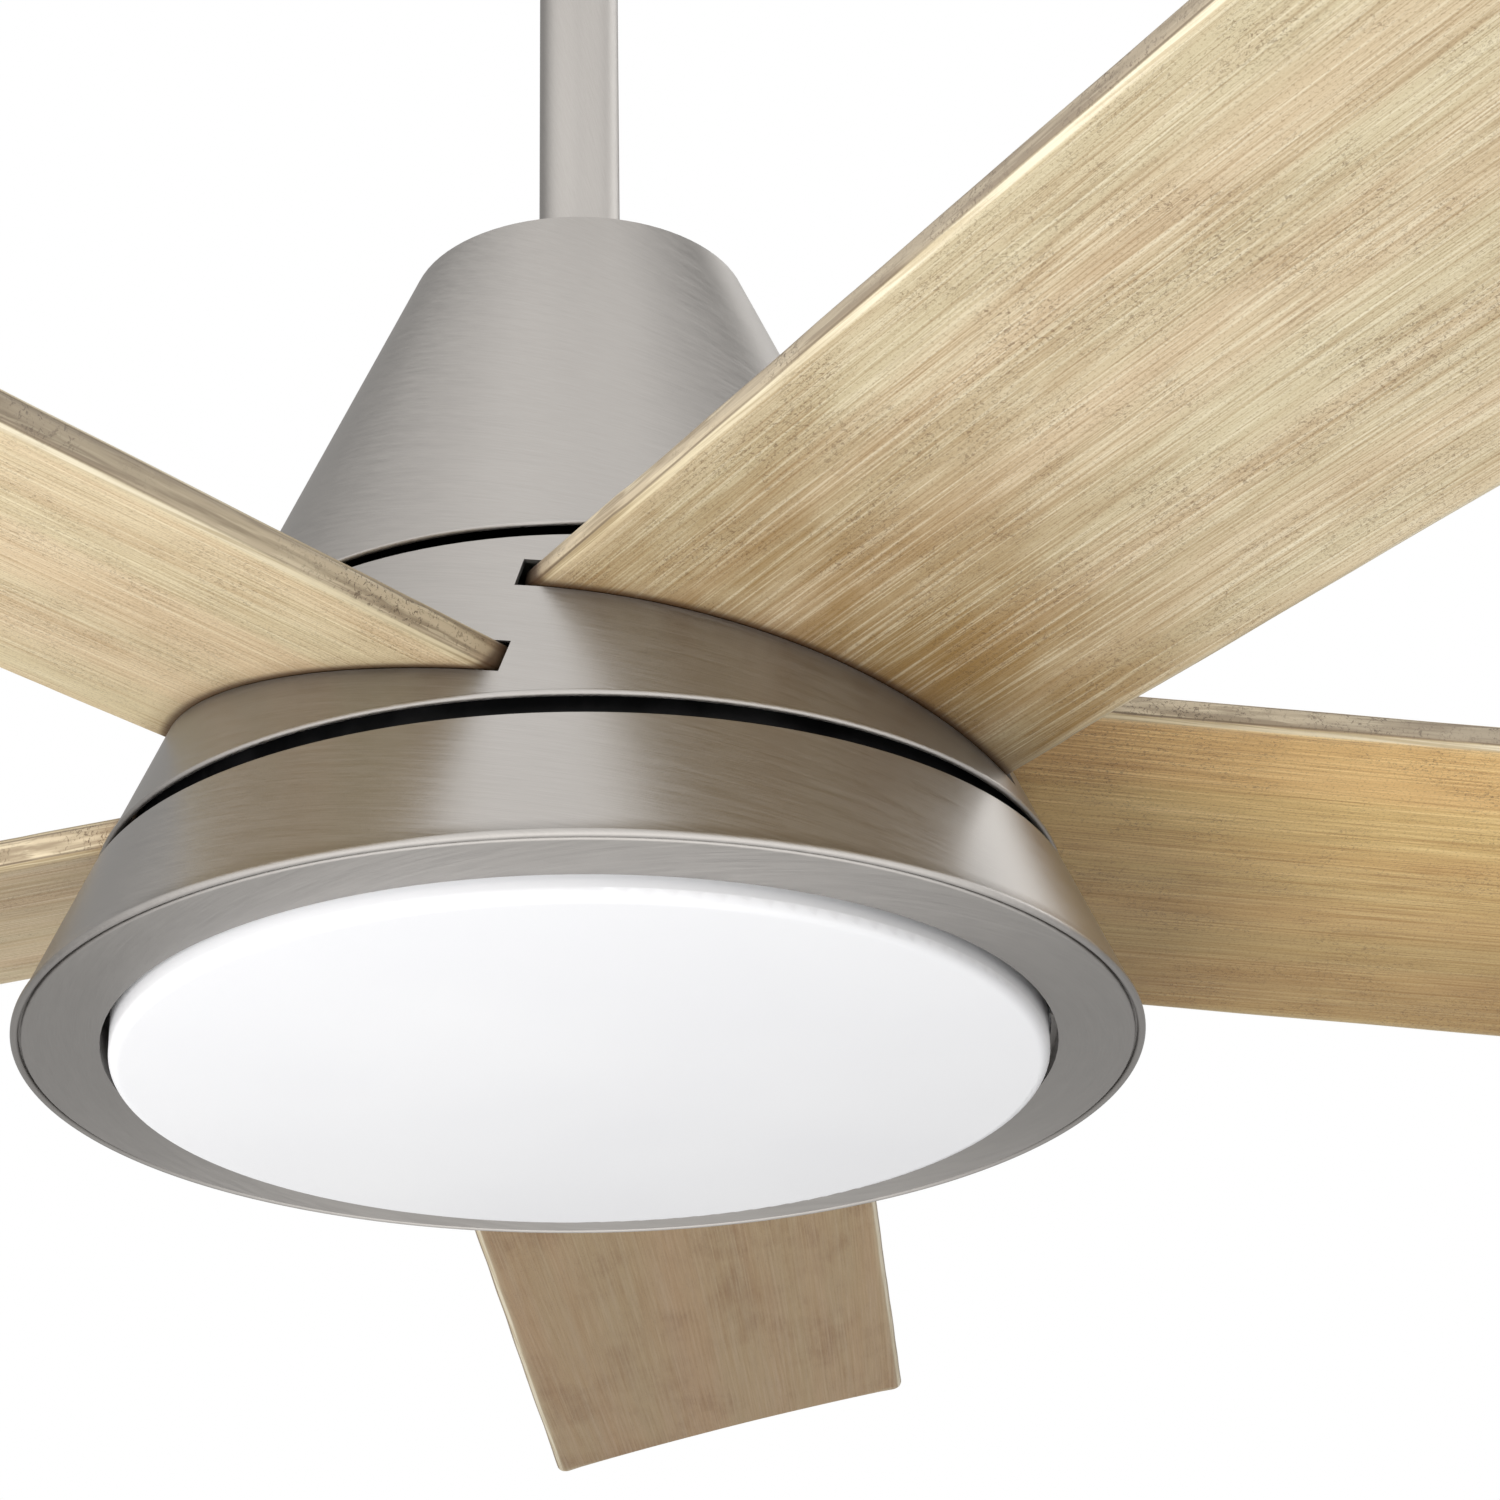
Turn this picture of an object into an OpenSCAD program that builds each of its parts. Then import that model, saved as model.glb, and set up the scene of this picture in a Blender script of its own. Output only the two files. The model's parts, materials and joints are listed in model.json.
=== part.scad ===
// Ceiling fan with a conical body, five boards let into its rotor ring, and a round light underneath.
// Millimetres. The origin is the middle of the hanger bracket's top face, on the ceiling, with +Z up.
// Levels called "lv_" are heights above the flat face of the light ring. Depths are below the ceiling.

/* [Overall] */
// Distance from the ceiling down to the flat face of the light ring
drop = 519; // [480:1:620]
// Outside diameter of the downrod tube
rod_d = 26.7; // [26:0.1:27.5]
// Length of the downrod
rod_len = 254; // [230:1:260]

/* [Cone body] */
// Outside radius of the body cone at the light face
cone_r0 = 167.5; // [160:0.5:175]
// Outside radius of the body cone at its flat top
cone_r1 = 54.6; // [50:0.2:60]
// Height of the body cone, from the light face to its flat top
cone_h = 263; // [255:1:275]
// Wall of the spun shells
wall = 1.8; // [1.2:0.1:2.2]
// Height of the top edge of the light skirt
lv_skirt_top = 43.8; // [42:0.1:45]
// Height of the bottom edge of the turning blade ring
lv_ring_bottom = 50.5; // [49:0.1:52]
// Height of the top edge of the turning blade ring
lv_ring_top = 114; // [113:0.1:115]
// Height of the bottom edge of the upper housing
lv_housing_bottom = 118.8; // [118:0.1:121]

/* [Blades] */
// Number of blades
blade_count = 5; // [5:1:5]
// Sweep diameter across the blade tips
blade_span = 1476; // [1320:2:1524]
// Thickness of a blade board
blade_t = 10; // [9:0.1:10]
// Pitch angle of the boards
blade_pitch = 12.2; // [11:0.1:13]
// Direction of the first blade about the axis
blade_az = -59.6; // [-72:0.1:0]
// Height where a board's lower face crosses the axis
lv_blade = 77.4; // [76:0.1:78]
// Distance from a board's centre line to its high, leading edge, at the slot
lead_w = 77.2; // [70:0.2:79]
// Distance from a board's centre line to its low, trailing edge, at the slot
trail_w = 74.6; // [70:0.2:76]
// Widening of each edge, per millimetre of radius
blade_flare = 0.0185; // [0:0.0005:0.03]
// How far the middle of the tip is drawn in behind its corners
tip_bow = 7; // [2:0.5:10]

/* [Light] */
// Radius of the opening in the face ring
face_r_in = 141.6; // [140:0.1:143]
// Outside radius of the lens
lens_r = 139; // [137:0.1:139.2]
// How far the rim of the lens stands below the face ring
lens_rim = 6; // [3:0.5:8]
// Extra depth of the lens at its middle
lens_dome = 4; // [1:0.5:8]

/* [Canopy and bracket] */
// Outside radius of the canopy at the ceiling
canopy_r = 68; // [67:0.5:75]
// Outside radius of the canopy's lower end
canopy_r_low = 46; // [42:0.5:50]
// Depth of the canopy below the ceiling
canopy_h = 74; // [70:1:80]
// Spacing of the two ceiling-box screws
box_pitch = 88.9; // [82:0.1:90]
// Radius of the hanger ball
ball_r = 24; // [23:0.5:24]
// Depth of the ball's centre below the ceiling
ball_depth = 40; // [39:0.5:41]

/* [Hidden] */

fine = 160;        // facets of large round shells
mid = 64;          // facets of medium round pieces
few = 32;          // facets of screws and pins
eps = 0.01;        // overlap of cutters past a face
fit_gap = 0.05;    // running or assembly clearance, on the radius

nickel = [0.69, 0.67, 0.64];
dark_metal = [0.10, 0.10, 0.10];
zinc = [0.75, 0.76, 0.78];
cast_alloy = [0.62, 0.63, 0.65];
oak = [0.70, 0.60, 0.45];
copper = [0.72, 0.42, 0.22];
opal = [0.95, 0.95, 0.94];
white_paint = [0.92, 0.92, 0.90];
black_plastic = [0.08, 0.08, 0.09];
board_green = [0.10, 0.35, 0.18];

cone_k = (cone_r0 - cone_r1) / cone_h;
function cone_r(lv) = cone_r0 - cone_k * lv;

// Blade ring and blades
blade_step = 360 / blade_count;
tip_r = blade_span / 2;
slot_play = 0.5;                   // slot clearance above and below a board
slot_lead_play = 3.0;              // slot clearance past the leading edge
slot_trail_play = 2.0;             // slot clearance past the trailing edge
slot_u = 110;                      // radius at which the edge widths are given
tongue_u0 = 52;                    // inner end of the blade's mounting tongue
tongue_u1 = 90;
tongue_w = 31;
shoulder_lead_u = 96;
shoulder_trail_u = 111;
edge_r = 3;                        // rounding along a board's edges
tip_corner_r = 5;
blade_screw_uv = [[62, 0], [80, -19], [80, 19]];
ring_bead_r = 1;
ring_bead_out = 0.5;                // how far the bead stands out from the cone
ring_flange_t = 2;
lv_flange = 106;                   // underside of the blade ring's inner flange
ring_flange_r = 102;
ring_screw_r = 108;

// Hub
lv_hub = lv_flange + ring_flange_t;
hub_t = 5;
hub_r = 113;
lv_motor = lv_hub + hub_t;
hub_bore_r = 15;
hub_screw_pcr = 50;
hub_window_pcr = 80;
hub_window_r = 12;
clamp_t = 2;

// Motor
shaft_r = 8.5;
shaft_bore_r = 5.5;
lv_shaft_bottom = 36;
lv_shaft_top = 232;
motor_r = 74;
motor_wall = 4;
lv_split = lv_motor + 33;
lv_motor_top = lv_motor + 57;
bearing_r = 20;
bearing_w = 12;
lv_low_bearing = lv_motor + 3;
lv_up_bearing = lv_motor + 48;
bearing_boss_r = 24;
shoulder_r = 14;
stator_r = 60;
lv_stator = lv_motor + 23;
stator_h = 20;
tooth_count = 18;
tooth_w = 6;
yoke_r = 34;
magnet_count = 20;
magnet_r_in = stator_r + 1;
magnet_r_out = 65.3;
iron_r_in = 65.5;
lug_pcr = 78;
lug_h = 6;
lug_step = 0.2;                    // how far the cover lugs stand back from the split line

// Coupling and rod
coupling_r = 20;
lv_coupling = 205;
coupling_flange_r = 34;
housing_plate_t = 1.8;
lv_housing_plate = cone_h - housing_plate_t;
lv_clevis = 248;
lv_rod = 236;
rod_r = rod_d / 2;
rod_wall = 2.85;
pin_r = 3;
housing_screw_pcr = 27;
housing_screw_az = 30;

// Light
lv_base = lv_skirt_top;
base_t = 2;
base_r = 138.5;
base_rim_t = 1.5;
lv_base_rim = 57;
nut_h = 6;
nut_r = 14;
skirt_bead_r = 1.2;
skirt_bead_out = 0.3;
skirt_screw_pcr = 133;
face_t = 1.6;
face_r_out = 164.3;
face_wall = 1.6;
lv_led_plate = 26;
led_plate_t = 2;
led_plate_r = 128;
face_screw_pcr = 124;
standoff_xy = 73.5;
led_board_t = 1.6;
led_rings = [[35, 8], [60, 14], [84, 20]];
lug_angle = 20;
lug_r_in = 139.7;
lv_lug = 5;
lug_t = 2;
tab_angle = 16;
tab_r = 141.2;
lens_t = 2.2;
lens_corner = 3.5;
lens_top = 10;

// Canopy, bracket and ball
bracket_t = 2;
bracket_w = 38;
tab_x = 64;
canopy_screw_z = -15;
canopy_t = 1.2;
canopy_band = 26;
canopy_hole_r = 23;
seat_gap = 0.3;
seat_t = 2;
ball_pin_z = -ball_depth + 4;

// Leads
lead_jog_r = 8;
lead_jog_angle = 50;
lead_offset = 2 * lead_jog_r * (1 - cos(lead_jog_angle));
lead_jog_h = 2 * lead_jog_r * sin(lead_jog_angle);
plug_z = -ball_depth + 22;

// ---- Placing helpers ----

// Moves children from light-face levels to their real height below the ceiling
module body_level() {
    translate([0, 0, -drop]) children();
}

// Copies children round the axis
module around(count, start = 0) {
    for (i = [0 : count - 1]) rotate([0, 0, start + i * 360 / count]) children();
}

// Frame of one blade: X outward, Y towards the low trailing edge, Z up through the board
module blade_frame(i) {
    rotate([0, 0, blade_az + i * blade_step])
        translate([0, 0, lv_blade])
            rotate([-blade_pitch, 0, 0])
                children();
}

module all_blade_frames() {
    for (i = [0 : blade_count - 1]) blade_frame(i) children();
}

module tube(r_out, r_in, h, z = 0, fn = mid) {
    translate([0, 0, z]) difference() {
        cylinder(r = r_out, h = h, $fn = fn);
        translate([0, 0, -1]) cylinder(r = r_in, h = h + 2, $fn = fn);
    }
}

// Pan-head screw: the underside of its head is at z = 0 and the shank points up
module screw(shank_r, shank_len, head_r, head_h) {
    difference() {
        union() {
            cylinder(r = shank_r, h = shank_len, $fn = few);
            translate([0, 0, -head_h]) cylinder(r = head_r, h = head_h, $fn = few);
        }
        for (a = [0, 90]) rotate([0, 0, a])
            translate([-head_r * 0.6, -head_r * 0.1, -head_h - eps])
                cube([head_r * 1.2, head_r * 0.2, head_h * 0.5]);
    }
}

// Section of the body cone's wall between two levels
module cone_wall(lv0, lv1) {
    polygon([
        [cone_r(lv0), lv0],
        [cone_r(lv1), lv1],
        [cone_r(lv1) - wall, lv1],
        [cone_r(lv0) - wall, lv0]
    ]);
}

// Ring sector between two radii, centred on +X
module sector(r_in, r_out, angle, h) {
    rotate([0, 0, -angle / 2]) rotate_extrude(angle = angle, $fn = fine)
        translate([r_in, 0]) square([r_out - r_in, h]);
}

// ---- Ceiling mount ----

module bracket_slot(x) {
    slot_r = 2.5;
    slot_half = 5;
    translate([x, 0, -bracket_t - 1]) {
        translate([-slot_half, -slot_r, 0]) cube([2 * slot_half, 2 * slot_r, bracket_t + 2]);
        for (s = [-1, 1]) translate([s * slot_half, 0, 0])
            cylinder(r = slot_r, h = bracket_t + 2, $fn = few);
    }
}

module hanger_bracket() {
    leg_x = 34;
    socket_top = ball_depth + 8;
    socket_h = 12;
    seat_outer = ball_r + seat_gap + seat_t + seat_gap;
    color(zinc) difference() {
        union() {
            translate([-tab_x, -bracket_w / 2, -bracket_t]) cube([2 * tab_x, bracket_w, bracket_t]);
            for (s = [-1, 1]) {
                translate([s > 0 ? tab_x - bracket_t : -tab_x, -8, -24]) cube([bracket_t, 16, 24]);
                translate([s > 0 ? leg_x : -leg_x - bracket_t, -bracket_w / 2, -socket_top - socket_h])
                    cube([bracket_t, bracket_w, socket_top + socket_h - eps]);
            }
            intersection() {
                translate([0, 0, -socket_top - socket_h]) cylinder(r = 39, h = socket_h, $fn = mid);
                translate([-leg_x - 1, -bracket_w / 2, -socket_top - socket_h])
                    cube([2 * leg_x + 2, bracket_w, socket_h]);
            }
        }
        translate([0, 0, -ball_depth]) sphere(r = seat_outer, $fn = 96);
        translate([0, 0, -socket_top - socket_h - 1]) cylinder(r = 19.2, h = socket_h + 2, $fn = mid);
        translate([0, 0, -socket_top]) cylinder(r = seat_outer + 1, h = 6, $fn = mid);
        for (s = [-1, 1]) bracket_slot(s * box_pitch / 2);
        for (s = [-1, 1]) translate([s * (tab_x + 1), 0, canopy_screw_z]) rotate([0, -s * 90, 0])
            cylinder(r = 2.05, h = bracket_t + 2, $fn = few);
        translate([0, 0, -bracket_t - 1]) cylinder(r = 9, h = bracket_t + 2, $fn = few);
    }
}

module canopy_section(inset) {
    low = -canopy_h + inset;
    polygon([
        [0, -1 + (inset > 0 ? 1 : 0)],
        [canopy_r - inset, -1 + (inset > 0 ? 1 : 0)],
        [canopy_r - inset, -canopy_band],
        [canopy_r_low - inset + 1.5, low + 3],
        [canopy_r_low - inset - 1.5, low],
        [0, low]
    ]);
}

module canopy() {
    color(nickel) difference() {
        rotate_extrude($fn = fine) difference() {
            canopy_section(0);
            canopy_section(canopy_t);
        }
        translate([0, 0, -canopy_h - 1]) cylinder(r = canopy_hole_r, h = 4, $fn = mid);
        for (s = [-1, 1]) translate([s * (canopy_r + 1), 0, canopy_screw_z]) rotate([0, -s * 90, 0])
            cylinder(r = 2.2, h = 4, $fn = few);
    }
}

module canopy_screws() {
    color(nickel) for (s = [-1, 1]) translate([s * canopy_r, 0, canopy_screw_z])
        rotate([0, -s * 90, 0]) screw(2, 9, 3.8, 2.4);
}

module receiver() {
    size = [80, 24, 20];
    color(black_plastic) translate([-size[0] / 2, 22, -bracket_t - size[2]]) difference() {
        cube(size);
        for (x = [6 : 6 : size[0] - 6]) translate([x, size[1] - 0.8, 3]) cube([2, 1.8, size[2] - 6]);
    }
}

// ---- Ball swivel ----

// Band of a hollow sphere below the ball's equator
module ball_band(r_in, r_out, depth0, depth1) {
    translate([0, 0, -ball_depth]) difference() {
        intersection() {
            sphere(r = r_out, $fn = 96);
            translate([0, 0, -depth1]) cylinder(r = r_out + 1, h = depth1 - depth0, $fn = mid);
        }
        sphere(r = r_in, $fn = 96);
    }
}

module ball_seat() {
    color(black_plastic)
        ball_band(ball_r + seat_gap, ball_r + seat_gap + seat_t, 9, 16.2);
}

module hanger_ball() {
    flat_top = 17;
    color(dark_metal) difference() {
        translate([0, 0, -ball_depth]) sphere(r = ball_r, $fn = 96);
        translate([-ball_r, -ball_r, -ball_depth + flat_top]) cube([2 * ball_r, 2 * ball_r, ball_r]);
        translate([0, 0, -ball_depth - ball_r - 1])
            cylinder(r = rod_r + fit_gap, h = 2 * ball_r + 2, $fn = mid);
        translate([-ball_r - 1, 0, ball_pin_z]) rotate([0, 90, 0])
            cylinder(r = pin_r + fit_gap, h = 2 * ball_r + 2, $fn = few);
        translate([0, rod_r - 1, ball_pin_z]) rotate([-90, 0, 0])
            cylinder(r = 2.5 + fit_gap, h = ball_r, $fn = few);
    }
}

module ball_pin() {
    half = 21;
    color(zinc) translate([-half, 0, ball_pin_z]) rotate([0, 90, 0])
        cylinder(r = pin_r, h = 2 * half, $fn = few);
}

module ball_set_screw() {
    color(zinc) difference() {
        translate([0, rod_r + 0.1, ball_pin_z]) rotate([-90, 0, 0])
            cylinder(r = 2.5, h = 8, $fn = few);
        translate([0, rod_r + 5, ball_pin_z]) rotate([-90, 0, 0])
            cylinder(r = 1.3, h = 5, $fn = 6);
    }
}

// ---- Rod and coupling ----

module downrod() {
    color(nickel) difference() {
        body_level() tube(rod_r, rod_r - rod_wall, rod_len, lv_rod);
        body_level() translate([-20, 0, lv_clevis]) rotate([0, 90, 0])
            cylinder(r = pin_r + fit_gap, h = 40, $fn = few);
        translate([-20, 0, ball_pin_z]) rotate([0, 90, 0])
            cylinder(r = pin_r + fit_gap, h = 40, $fn = few);
    }
}

module rod_coupling() {
    flange_t = 4.2;
    color(dark_metal) body_level() difference() {
        union() {
            translate([0, 0, lv_coupling])
                cylinder(r = coupling_r, h = lv_housing_plate - lv_coupling, $fn = mid);
            translate([0, 0, lv_housing_plate - flange_t])
                cylinder(r = coupling_flange_r, h = flange_t, $fn = mid);
        }
        translate([0, 0, lv_coupling - 1]) cylinder(r = shaft_r + fit_gap, h = 40, $fn = mid);
        translate([0, 0, lv_rod - 0.5]) cylinder(r = rod_r + fit_gap, h = 40, $fn = mid);
        translate([-30, 0, lv_clevis]) rotate([0, 90, 0])
            cylinder(r = pin_r + fit_gap, h = 60, $fn = few);
        for (s = [-1, 1]) translate([0, 0, lv_coupling + 9]) rotate([-s * 90, 0, 0])
            cylinder(r = 3 + fit_gap, h = coupling_r + 1, $fn = few);
        around(3, housing_screw_az) translate([housing_screw_pcr, 0, lv_housing_plate - flange_t - 1])
            cylinder(r = 2 + fit_gap, h = flange_t + 2, $fn = few);
    }
}

module clevis_pin() {
    color(zinc) body_level() difference() {
        union() {
            translate([-22, 0, lv_clevis]) rotate([0, 90, 0]) cylinder(r = pin_r, h = 48, $fn = few);
            translate([-24, 0, lv_clevis]) rotate([0, 90, 0]) cylinder(r = 5, h = 2, $fn = few);
        }
        translate([23, 0, lv_clevis - 5]) cylinder(r = 1 + fit_gap, h = 10, $fn = few);
    }
}

// Split pin through the free end of the clevis pin
module cotter_pin() {
    color(zinc) body_level() translate([23, 0, lv_clevis]) {
        translate([0, 0, -6]) cylinder(r = 1, h = 12, $fn = few);
        translate([0, 0, -7.4]) rotate([90, 0, 0])
            rotate_extrude($fn = few) translate([1.9, 0]) circle(r = 0.7, $fn = 24);
    }
}

module coupling_set_screws() {
    color(zinc) body_level() for (s = [-1, 1]) translate([0, 0, lv_coupling + 9])
        rotate([-s * 90, 0, 0]) difference() {
            translate([0, 0, shaft_r + 0.1]) cylinder(r = 3, h = coupling_r - shaft_r - 1, $fn = few);
            translate([0, 0, coupling_r - 4]) cylinder(r = 1.6, h = 5, $fn = 6);
        }
}

// ---- Housing ----

module upper_housing() {
    bead = 0.9;
    color(nickel) body_level() difference() {
        rotate_extrude($fn = fine) {
            cone_wall(lv_housing_bottom + bead, cone_h);
            translate([cone_r(lv_housing_bottom + bead) - bead, lv_housing_bottom + bead])
                circle(r = bead, $fn = 24);
            translate([rod_r + 1.5, lv_housing_plate])
                square([cone_r1 - rod_r - 2.5, housing_plate_t]);
        }
        around(3, housing_screw_az) translate([housing_screw_pcr, 0, lv_housing_plate - 1])
            cylinder(r = 2.2, h = housing_plate_t + 2, $fn = few);
    }
}

module housing_screws() {
    color(nickel) body_level() around(3, housing_screw_az)
        translate([housing_screw_pcr, 0, cone_h]) rotate([180, 0, 0]) screw(2, 6, 3.8, 2.2);
}

// ---- Motor: still pieces ----

module motor_shaft() {
    color(zinc) body_level() difference() {
        tube(shaft_r, shaft_bore_r, lv_shaft_top - lv_shaft_bottom, lv_shaft_bottom);
        for (lv = [lv_low_bearing - 1.4, lv_up_bearing + bearing_w + 2.4])
            tube(shaft_r + 1, shaft_r - 0.8, 1.2, lv);
    }
}

module shaft_circlips() {
    color(dark_metal) body_level() for (lv = [lv_low_bearing - 1.3, lv_up_bearing + bearing_w + 2.5])
        difference() {
            tube(11, shaft_r - 0.7, 1, lv);
            translate([0, -2, lv - 1]) cube([12, 4, 3]);
        }
}

module wave_washer() {
    color(zinc) body_level() tube(11, shaft_r + 0.2, 1.8, lv_up_bearing + bearing_w + 0.4);
}

module stator_core() {
    tip_in = stator_r - 3;
    color(zinc) body_level() translate([0, 0, lv_stator]) difference() {
        union() {
            cylinder(r = yoke_r, h = stator_h, $fn = mid);
            around(tooth_count) {
                translate([yoke_r - 2, -tooth_w / 2, 0])
                    cube([tip_in - yoke_r + 3, tooth_w, stator_h]);
                sector(tip_in, stator_r, 17, stator_h);
            }
        }
        translate([0, 0, -1]) cylinder(r = shaft_r + fit_gap, h = stator_h + 2, $fn = mid);
        around(6) translate([22, 0, -1]) cylinder(r = 6, h = stator_h + 2, $fn = few);
    }
}

module stator_windings() {
    over = 4;
    coil_w = 11.8;
    color(copper) body_level() around(tooth_count) difference() {
        translate([yoke_r + 2, -coil_w / 2, lv_stator - over])
            cube([stator_r - yoke_r - 6, coil_w, stator_h + 2 * over]);
        translate([yoke_r, -tooth_w / 2 - 0.1, lv_stator - 0.1])
            cube([stator_r - yoke_r, tooth_w + 0.2, stator_h + 0.2]);
    }
}

module motor_board() {
    color(board_green) body_level() difference() {
        tube(56, 26, 1.6, lv_motor + 9);
        around(3, 15) translate([50, 0, lv_motor + 8]) cylinder(r = 2, h = 4, $fn = few);
    }
}

// ---- Light unit ----

module light_base() {
    color(dark_metal) body_level() difference() {
        union() {
            tube(base_r, shaft_r + fit_gap, base_t, lv_base, fine);
            tube(base_r, base_r - base_rim_t, lv_base_rim - lv_base, lv_base, fine);
        }
        around(4, 45) translate([skirt_screw_pcr, 0, lv_base - 1])
            cylinder(r = 2 + fit_gap, h = base_t + 2, $fn = few);
        for (x = [-1, 1], y = [-1, 1]) translate([x * standoff_xy, y * standoff_xy, lv_base - 1])
            cylinder(r = 2 + fit_gap, h = base_t + 2, $fn = few);
    }
}

module shaft_nuts() {
    color(zinc) body_level() for (lv = [lv_base - nut_h, lv_base + base_t])
        translate([0, 0, lv]) difference() {
            cylinder(r = nut_r, h = nut_h, $fn = 6);
            translate([0, 0, -1]) cylinder(r = shaft_r + fit_gap, h = nut_h + 2, $fn = mid);
        }
}

module light_skirt() {
    ledge_t = 1.4;
    flange_t = 1.6;
    flange_r = 129;
    color(nickel) body_level() difference() {
        rotate_extrude($fn = fine) {
            cone_wall(skirt_bead_r, lv_skirt_top);
            translate([cone_r(skirt_bead_r) - skirt_bead_r + skirt_bead_out, skirt_bead_r])
                circle(r = skirt_bead_r, $fn = 32);
            translate([156, face_t]) square([cone_r(face_t) - 156 - wall, ledge_t]);
            translate([flange_r, lv_skirt_top - flange_t])
                square([cone_r(lv_skirt_top) - flange_r - wall / 2, flange_t]);
        }
        around(4, 45) translate([skirt_screw_pcr, 0, lv_skirt_top - 3])
            cylinder(r = 2.2, h = 5, $fn = few);
    }
}

module skirt_screws() {
    color(zinc) body_level() around(4, 45) translate([skirt_screw_pcr, 0, lv_skirt_top - 1.6])
        screw(2, 5, 3.6, 2.2);
}

module face_ring() {
    flange_r = 120;
    color(nickel) body_level() difference() {
        union() {
            rotate_extrude($fn = fine) {
                translate([face_r_in, 0]) square([face_r_out - face_t / 2 - face_r_in, face_t]);
                translate([face_r_out - face_t / 2, face_t / 2]) circle(r = face_t / 2, $fn = 24);
                translate([face_r_in, 0]) square([face_wall, lv_led_plate]);
                translate([flange_r, lv_led_plate - face_t])
                    square([face_r_in - flange_r + face_wall, face_t]);
            }
            around(3) translate([0, 0, lv_lug])
                sector(lug_r_in, face_r_in + 0.5, lug_angle, lug_t);
        }
        around(4, 45) translate([face_screw_pcr, 0, lv_led_plate - 3])
            cylinder(r = 1.7, h = 5, $fn = few);
    }
}

module face_screws() {
    color(zinc) body_level() around(4, 45)
        translate([face_screw_pcr, 0, lv_led_plate - face_t]) screw(1.5, 4, 2.8, 1.8);
}

module led_plate() {
    color(cast_alloy) body_level() difference() {
        tube(led_plate_r, 12, led_plate_t, lv_led_plate, fine);
        around(4, 45) translate([face_screw_pcr, 0, lv_led_plate - 1])
            cylinder(r = 1.5 + fit_gap, h = 4, $fn = few);
        for (x = [-1, 1], y = [-1, 1])
            translate([x * standoff_xy, y * standoff_xy, lv_led_plate - 1])
                cylinder(r = 2.2, h = 4, $fn = few);
    }
}

module standoffs() {
    low = lv_led_plate + led_plate_t;
    color(zinc) body_level() for (x = [-1, 1], y = [-1, 1])
        translate([x * standoff_xy, y * standoff_xy, 0]) tube(4, 2.2, lv_base - low, low, few);
}

module led_plate_screws() {
    color(zinc) body_level() for (x = [-1, 1], y = [-1, 1])
        translate([x * standoff_xy, y * standoff_xy, lv_led_plate])
            screw(2, lv_base + base_t - lv_led_plate, 3.6, 2);
}

module led_board() {
    color(white_paint) body_level() tube(92, 20, led_board_t, lv_led_plate - led_board_t, fine);
}

module leds() {
    chip = [3.4, 3.4, 0.9];
    color([0.95, 0.85, 0.45]) body_level() for (ring = led_rings)
        around(ring[1], 7) translate([ring[0] - chip[0] / 2, -chip[1] / 2,
            lv_led_plate - led_board_t - chip[2]]) cube(chip);
}

module led_driver() {
    size = [76, 44, 13];
    color(white_paint) body_level() translate([26, -size[1] / 2, lv_base - size[2]]) difference() {
        cube(size);
        for (x = [8 : 6 : size[0] - 8]) translate([x, -1, 3]) cube([2, 2, size[2] - 6]);
    }
}

// Unit vector of v
function unit(v) = v / norm(v);

// Direction of a route at its point i: the bisector of the two stretches that meet there
function heading(route, i) =
    let (last = len(route) - 1,
         arriving = unit(route[max(i, 1)] - route[max(i, 1) - 1]),
         leaving = unit(route[min(i, last - 1) + 1] - route[min(i, last - 1)]))
    unit(arriving + leaving);

// One ring of a tube around a route that never runs along Y
function tube_ring(route, i, tube_r, sides) =
    let (level = unit(cross(heading(route, i), [0, 1, 0])),
         upright = cross(heading(route, i), level))
    [for (side = [0:sides - 1])
        route[i] + tube_r * (cos(360 * side / sides) * level + sin(360 * side / sides) * upright)];

// A closed tube swept along a route
module tube_along(route, tube_r, sides) {
    rings = len(route);
    skin = [for (ring = [0:rings - 2], side = [0:sides - 1])
        let (here = ring * sides, next_side = (side + 1) % sides)
        each [[here + side, here + sides + next_side, here + next_side],
              [here + side, here + sides + side, here + sides + next_side]]];
    start_cap = [for (side = [0:sides - 1]) side];
    end_cap = [for (side = [sides - 1:-1:0]) (rings - 1) * sides + side];
    polyhedron([for (i = [0:rings - 1]) each tube_ring(route, i, tube_r, sides)],
        concat(skin, [start_cap, end_cap]), convexity = 6);
}

// The supply leads: from the LED driver up through the motor's shaft, then past the cross pins
module lead_wires() {
    bundle_r = 1.9;
    bend_r = 4.5;
    driver_x = 26;
    lv_turn = 38;
    lv_jog = lv_shaft_top + 0.2;
    route = concat(
        [[driver_x, 0, lv_turn - bend_r]],
        [for (a = [90:-15:0]) [bend_r * (1 - cos(a)), 0, lv_turn - bend_r * sin(a)]],
        [for (a = [0:lead_jog_angle / 4:lead_jog_angle])
            [0, lead_jog_r * (1 - cos(a)), lv_jog + lead_jog_r * sin(a)]],
        [for (a = [lead_jog_angle * 3 / 4:-lead_jog_angle / 4:0])
            [0, lead_offset - lead_jog_r * (1 - cos(a)), lv_jog + lead_jog_h - lead_jog_r * sin(a)]],
        [[0, lead_offset, plug_z + drop]]);
    color(black_plastic) translate([0, 0, -drop]) tube_along(route, bundle_r, 12);
}

module wire_plug() {
    color(white_paint) translate([-6, lead_offset - 4, plug_z]) difference() {
        cube([12, 8, 9]);
        for (x = [2, 7]) translate([x, 2, 4]) cube([3, 4, 6]);
    }
}

// ---- Motor: turning pieces ----

module cover_lugs(lv) {
    around(5, 10) translate([lug_pcr, 0, lv]) cylinder(r = 5.5, h = lug_h, $fn = few);
}

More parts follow.
